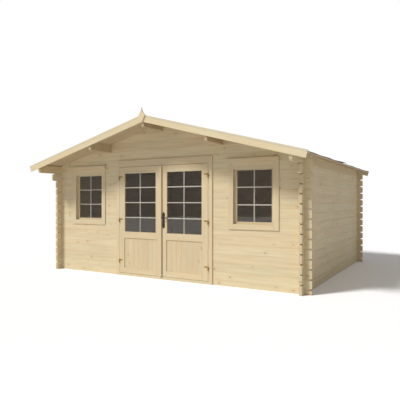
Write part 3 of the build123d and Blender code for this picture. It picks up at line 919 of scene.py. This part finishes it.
def add_door_boards():
    """Upright boards in the lower panel of each leaf."""
    for side in ("left", "right"):
        node = f"{side}_door_panel"
        low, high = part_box(node)
        width = (high.x - low.x) / PANEL_BOARDS
        outline = board_outline(width, high.y - low.y, PANEL_GROOVE, both=True)
        mesh = lay_boards(PANEL_BOARDS, low.x, width, outline,
                          place=lambda u, v, t: (u, low.y + v, t), ends=lambda edge: (low.z, high.z))
        pine = planks(f"{node}_pine", "ZXY", width, 800.0 + low.x, low.x, low.y, PANEL_PINE)
        boards = finish_piece(f"{side}_door_boards", mesh, pine, f"{side}_door")
        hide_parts(node)


def slope_place(side, node, thickness):
    """A function from (along Y, above the underside of a slab, down the slope) to a place.

    With it come the length of the slope and the slab's range along Y.
    """
    low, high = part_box(node)
    down_slope, out = slope_axes(side)
    ridge_z = high.z - thickness / math.cos(ROOF_SLOPE)

    def place(along, above, down):
        return Vector((0, along, ridge_z)) + out * above + down_slope * down

    eave_x = high.x if side > 0 else low.x
    return place, abs(eave_x) / math.cos(ROOF_SLOPE), (low.y, high.y)


def add_roof_boards():
    """Boards from ridge to eave, side by side from front to back, V-jointed below."""
    eave_square = ROOF_BOARD_THICKNESS * math.tan(ROOF_SLOPE)
    for side in (1, -1):
        node = f"roof_boards_{side_name(side)}"
        place, length, (front, back) = slope_place(side, node, ROOF_BOARD_THICKNESS)
        width = (back - front) / ROOF_BOARDS
        outline = board_outline(width, ROOF_BOARD_THICKNESS, ROOF_BOARD_GROOVE, both=False)
        run = (RIDGE_GAP + eave_square, length - eave_square)
        mesh = lay_boards(ROOF_BOARDS, front, width, outline, place, ends=lambda edge: run)
        pine = planks(f"{node}_pine", "XYZ", width, 900.0 + 60 * side, front, back=2.5, tone=SHADED_ROOF_PINE)
        boards = finish_piece(f"{node}_laid", mesh, pine, "shell")
        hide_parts(node)


def felt_lift(sheet, across, down):
    """How far a sheet stands off the boards: it climbs over its neighbour, and its eave is a little wavy."""
    lap = LAP_CLIMB * max(0.0, (across - LAP_START) / (1 - LAP_START))
    eave = max(0.0, (down - EAVE_START) / (1 - EAVE_START))
    curl = EAVE_CURL if sheet == CURLED_SHEET else SLIGHT_CURL
    wave = EAVE_WAVE * math.sin(across * WAVE_TURNS + sheet * WAVE_SHIFT) + EAVE_LIFT
    return lap + eave * eave * (curl * across + wave)


def add_felt():
    """Sheets from ridge to eave, each one's back edge lying on the next, and a strip along the ridge."""
    low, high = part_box("roofing_felt_right")
    finish = felt(low.y, (high.y - low.y) / FELT_SHEETS)
    under, over = (FELT_THICKNESS + height for height in RIDGE_STRIP_HEIGHTS)
    strip = [(0.0, over), (RIDGE_STRIP_WIDTH, over), (RIDGE_STRIP_WIDTH, under), (0.0, under)]
    for side in (1, -1):
        node = f"roofing_felt_{side_name(side)}"
        place, length, (front, back) = slope_place(side, node, FELT_SLAB)
        width = (back - front) / FELT_SHEETS
        mesh = bmesh.new()
        for sheet in range(FELT_SHEETS):
            start = front + sheet * width
            end = min(back, start + width + FELT_LAP)

            def point(across, down, above):
                lift = felt_lift(sheet, across, down)
                drawn_in = max(0.0, lift - EAVE_PLAY) * math.tan(ROOF_SLOPE)
                return place(start + across * (end - start), above + lift, down * length - drawn_in)

            skin(mesh, *FELT_STEPS,
                 lambda across, down: point(across, down, FELT_THICKNESS),
                 lambda across, down: point(across, down, FELT_UNDERSIDE))
        carry(mesh, strip, lambda u, v, t: place(t, v, u), front, back)
        sheets = finish_piece(f"{node}_sheets", mesh, finish, "shell")
        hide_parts(node)


def add_floor_boards():
    """Floor boards from front to back, the ones in the doorway cut short at the frame."""
    low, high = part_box("floor_boards")
    frame_low, frame_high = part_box("door_frame")
    width = (high.x - low.x) / FLOOR_BOARDS
    thickness = high.z - low.z
    outline = [(u, thickness - v) for u, v in board_outline(width, thickness, FLOOR_BOARD_GROOVE, both=False)]

    def ends(edge):
        in_doorway = edge + width > frame_low.x and edge < frame_high.x
        return frame_high.y + BOARD_GAP if in_doorway else low.y, high.y

    mesh = lay_boards(FLOOR_BOARDS, low.x, width, outline, lambda u, v, t: (u, t, low.z + v), ends)
    pine = planks("floor_board_pine", "YXZ", width, 1100.0, low.x, low.z, FLOOR_PINE)
    boards = finish_piece("floor_boards_laid", mesh, pine, "shell")
    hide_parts("floor_boards")


# Fixings
def turned_to(axis):
    """The turn that brings +Z to an axis."""
    return Vector((0, 0, 1)).rotation_difference(Vector(axis)).to_matrix().to_4x4()


def screw_head(mesh, centre, axis, radius=SCREW_RADIUS):
    """A low domed head with a dished recess, standing on a face whose outward direction is axis."""
    base = Matrix.Translation(centre) @ turned_to(axis)
    angles = [2 * math.pi * step / SCREW_SIDES for step in range(SCREW_SIDES)]
    rings = []
    for share, height in SCREW_OUTLINE:
        reach, rise = radius * share, radius * height
        rings.append([
            mesh.verts.new(base @ Vector((reach * math.cos(angle), reach * math.sin(angle), rise)))
            for angle in angles
        ])
    floor = mesh.verts.new(base @ Vector((0, 0, radius * SCREW_RECESS)))
    for index in range(SCREW_SIDES):
        after = (index + 1) % SCREW_SIDES
        for low, high in zip(rings, rings[1:]):
            mesh.faces.new((low[index], low[after], high[after], high[index]))
        mesh.faces.new((rings[-1][index], rings[-1][after], floor))
    mesh.faces.new(list(reversed(rings[0])))


def add_screws(name, places, axis, material, body, radius=SCREW_RADIUS):
    mesh = bmesh.new()
    for place in places:
        screw_head(mesh, Vector(place), axis, radius)
    finish_piece(name, mesh, material, body, smooth=True)


def rod(mesh, start, end, radius, sides=16):
    """A round bar between two places."""
    start, end = Vector(start), Vector(end)
    matrix = Matrix.Translation((start + end) / 2) @ turned_to(end - start)
    bmesh.ops.create_cone(mesh, cap_ends=True, segments=sides, radius1=radius, radius2=radius,
                          depth=(end - start).length, matrix=matrix)


def add_felt_nails(zinc):
    """Broad-headed nails along the laps and the front edge of the felt."""
    for side in (1, -1):
        node = f"roofing_felt_{side_name(side)}"
        place, length, (front, back) = slope_place(side, node, FELT_SLAB)
        width = (back - front) / FELT_SHEETS
        nails = []
        for sheet in range(FELT_SHEETS):
            across = FELT_NAIL_INSET / width if sheet else FRONT_NAIL_SHARE
            for step in range(1, FELT_NAILS + 1):
                down = step / (FELT_NAILS + 1) * FELT_NAIL_REACH
                above = FELT_THICKNESS + felt_lift(sheet, across, down)
                nails.append(place(front + (sheet + across) * width, above, down * length))
        add_screws(f"{node}_nails", nails, slope_axes(side)[1], zinc, "shell", FELT_NAIL_RADIUS)


def add_bolts(zinc):
    """Two bolts inside the left leaf, beside its meeting edge: plate, guides, rod and knob, drawn back."""
    low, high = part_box("left_door_frame")
    x = high.x - BOLT_INSET
    face = high.y
    rod_y = face + BOLT_STAND
    guide_x, guide_z = GUIDE_HALF
    mesh = bmesh.new()
    for end, inwards in ((high.z - BOLT_END_INSETS[0], -1), (low.z + BOLT_END_INSETS[1], 1)):
        z = sorted(end + inwards * reach for reach in BOLT_PLATE_REACH)
        box_between(mesh, (x - BOLT_PLATE_HALF, face, z[0]),
                    (x + BOLT_PLATE_HALF, face + BOLT_PLATE_THICKNESS, z[1]))
        rod(mesh, (x, rod_y, end), (x, rod_y, end + inwards * BOLT_LENGTH), BOLT_RADIUS)
        knob_z = end + inwards * KNOB_PLACE
        rod(mesh, (x, rod_y, knob_z), (x, rod_y + KNOB_LENGTH, knob_z), KNOB_RADIUS)
        for along in GUIDE_PLACES:
            middle = end + inwards * along
            box_between(mesh, (x - guide_x, face + GUIDE_ROOT, middle - guide_z),
                        (x + guide_x, rod_y + GUIDE_RISE, middle + guide_z))
    finish_piece("left_leaf_bolts", mesh, zinc, "left_door", ease=EASED_BOLT)


def add_keyholes(dark):
    """A keyhole in the lower half of each handle plate, drawn as a near-black inlay: painted shade for the
    dark inside of a hole.
    """
    low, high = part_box("handle_plates")
    x = (low.x + high.x) / 2
    z = low.z + KEYHOLE_HEIGHT
    mesh = bmesh.new()
    for face, outwards in ((low.y, -1), (high.y, 1)):
        root = face - outwards * KEYHOLE_SINK
        tip = face + outwards * KEYHOLE_STAND
        rod(mesh, (x, root, z), (x, tip, z), KEYHOLE_RADIUS)
        y = sorted((root, tip))
        box_between(mesh, (x - SLOT_HALF, y[0], z - SLOT_LENGTH), (x + SLOT_HALF, y[1], z))
    finish_piece("keyholes", mesh, dark, "right_door")


def nail_places(node, sides, head, setback=0.0):
    """Pairs of nails up a casing's uprights and in its head, on a face set back from the CAD casing's."""
    low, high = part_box(node)
    y = low.y + setback
    places = []
    for share in BOARD_NAIL_SHARES:
        for x in (low.x + sides * share, high.x - sides * share):
            places += [(x, y, low.z + part * (high.z - low.z - head)) for part in UPRIGHT_NAIL_SHARES]
        middle = low.x + share * (high.x - low.x)
        places += [(middle, y, high.z - head * part) for part in HEAD_NAIL_SHARES]
    return places


def add_fixings(brass, iron, zinc):
    """Screws of the hinges, handle plates and bargeboards, and the nails of the casings."""
    forwards = (0, -1, 0)
    strap_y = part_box("right_door_frame")[0].y - HINGE_STRAP
    strap_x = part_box("right_door_hinges")[0].x
    jamb_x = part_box("frame_hinges")[1].x - JAMB_SCREW_REACH
    for side in (1, -1):
        name = side_name(side)
        leaf = [
            (side * (strap_x + reach), strap_y, height + LEAF_SCREW_RISE)
            for height in HINGE_HEIGHTS for reach in LEAF_SCREW_REACHES
        ]
        add_screws(f"{name}_leaf_hinge_screws", leaf, forwards, brass, f"{name}_door")
        jamb = [(side * jamb_x, strap_y, height - JAMB_SCREW_DROP) for height in HINGE_HEIGHTS]
        add_screws(f"{name}_jamb_hinge_screws", jamb, forwards, brass, "shell")
    plate_low, plate_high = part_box("handle_plates")
    middle = (plate_low.x + plate_high.x) / 2
    heights = (plate_low.z + PLATE_SCREW_INSETS[0], plate_high.z - PLATE_SCREW_INSETS[1])
    for label, y, outwards in (("outer", plate_low.y, -1), ("inner", plate_high.y, 1)):
        places = [(middle, y, z) for z in heights]
        add_screws(f"{label}_plate_screws", places, (0, outwards, 0), iron, "right_door")
    boards = []
    board_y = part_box("front_bargeboard_right")[0].y
    for side in (1, -1):
        for x in BARGEBOARD_SCREWS:
            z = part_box("front_bargeboard_right")[1].z - x * math.tan(ROOF_SLOPE)
            boards += [(side * x, board_y, z - drop) for drop in BARGEBOARD_SCREW_DROPS]
    add_screws("bargeboard_screws", boards, forwards, zinc, "shell")
    nails = nail_places("door_trim", DOOR_CASING, DOOR_CASING_HEAD)
    nails += nail_places("left_window_trim", WINDOW_CASING, WINDOW_CASING_HEAD, CASING_SETBACK)
    nails += nail_places("right_window_trim", WINDOW_CASING, WINDOW_CASING_HEAD, CASING_SETBACK)
    add_screws("casing_nails", nails, forwards, zinc, "shell", CASING_NAIL_RADIUS)


def finish_metals():
    brass = metal("brass", (0.45, 0.31, 0.11, 1), (0.29, 0.195, 0.065, 1), smooth=0.32, scale=60.0)
    zinc = metal("zinc", (0.62, 0.60, 0.54, 1), (0.45, 0.42, 0.36, 1), smooth=0.35, scale=90.0)
    iron = metal("dark_iron", (0.026, 0.016, 0.012, 1), (0.05, 0.031, 0.022, 1),
                 smooth=0.42, scale=45.0, metallic=0.3)
    # painted shade: near-black finish for the keyholes, standing in for the dark inside of a hole
    dark = metal("keyhole_painted_shade", (0.006, 0.006, 0.006, 1), (0.012, 0.011, 0.01, 1),
                 smooth=0.7, scale=60.0, metallic=0.0)
    paint(brass, "frame_hinges", "left_door_hinges", "right_door_hinges")
    paint(iron, "handle_plates", "door_lever")
    add_fixings(brass, iron, zinc)
    add_felt_nails(zinc)
    add_bolts(zinc)
    add_keyholes(dark)


# Studio
def seen_by_camera(tree):
    """1 for what the camera sees, also through glass, and the outputs that tell kinds of ray apart."""
    path = tree.nodes.new("ShaderNodeLightPath").outputs
    return calc(tree, "MAXIMUM", path["Is Camera Ray"], path["Is Transmission Ray"]), path


def add_floor():
    """A wide pale floor that looks white to the camera, a little whiter still in the glass."""
    mesh = bmesh.new()
    bmesh.ops.create_circle(mesh, cap_ends=True, radius=FLOOR_RADIUS, segments=FLOOR_SIDES)
    data = mesh_data("studio_floor", mesh)
    floor = add_object("studio_floor", data)
    floor.location.z = -FLOOR_DROP
    material, tree, shader = new_material("studio_floor")
    seen, path = seen_by_camera(tree)
    level = span(tree, seen, 0, 1, FLOOR_BOUNCE, FLOOR_SEEN)
    level = span(tree, path["Is Glossy Ray"], 0, 1, level, FLOOR_MIRRORED)
    bluer = calc(tree, "MULTIPLY", level, FLOOR_BLUE)
    diffuse = add_node(tree, "ShaderNodeBsdfDiffuse", {"Color": join(tree, level, level, bluer)})
    tree.nodes.remove(shader)
    feed(tree, tree.nodes["Material Output"], {"Surface": diffuse.outputs[0]})
    data.materials.append(material)
    floor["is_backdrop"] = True


def add_sun():
    lamp = bpy.data.lights.new("sun", "SUN")
    lamp.energy = SUN_STRENGTH
    lamp.angle = SUN_SPREAD
    lamp.color = SUN_COLOUR
    sun = add_object("sun", lamp)
    sun.rotation_mode = "QUATERNION"
    sun.rotation_quaternion = SUN_TRAVEL.to_track_quat("-Z", "Y")
    sun.location = -SUN_DISTANCE * SUN_TRAVEL


def add_sky():
    """A soft sky that lights the shed, and is plain white where the camera sees it."""
    world = bpy.data.worlds.new("studio")
    bpy.context.scene.world = world
    world.use_nodes = True
    tree = world.node_tree
    lighting = tree.nodes["Background"]
    feed(tree, lighting, {"Color": SKY_COLOUR, "Strength": SKY_STRENGTH})
    white = add_node(tree, "ShaderNodeBackground", {"Color": (1, 1, 1, 1)})
    seen, _ = seen_by_camera(tree)
    choice = add_node(tree, "ShaderNodeMixShader", {0: seen, 1: lighting.outputs[0], 2: white.outputs[0]})
    feed(tree, tree.nodes["World Output"], {"Surface": choice.outputs[0]})


def add_camera():
    data = bpy.data.cameras.new("photo_view")
    data.lens = CAMERA_LENS
    data.shift_y = CAMERA_RISE
    camera = add_object("photo_view", data)
    camera.location = CAMERA_PLACE
    camera.rotation_euler = CAMERA_TURN
    bpy.context.scene.camera = camera


def note_sizes():
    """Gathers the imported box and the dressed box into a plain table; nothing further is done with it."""
    boxes = {"cad": cad_box, "visual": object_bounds()}
    plain = {name: [list(low), list(high)] for name, (low, high) in boxes.items()}


finish_walls()
finish_gable_trim()
finish_frames()
add_casings()
add_glazing()
add_door_boards()
add_roof_boards()
add_felt()
add_floor_boards()
finish_metals()
add_floor()
add_sun()
add_sky()
add_camera()
bpy.context.scene.view_settings.view_transform = "Standard"
note_sizes()
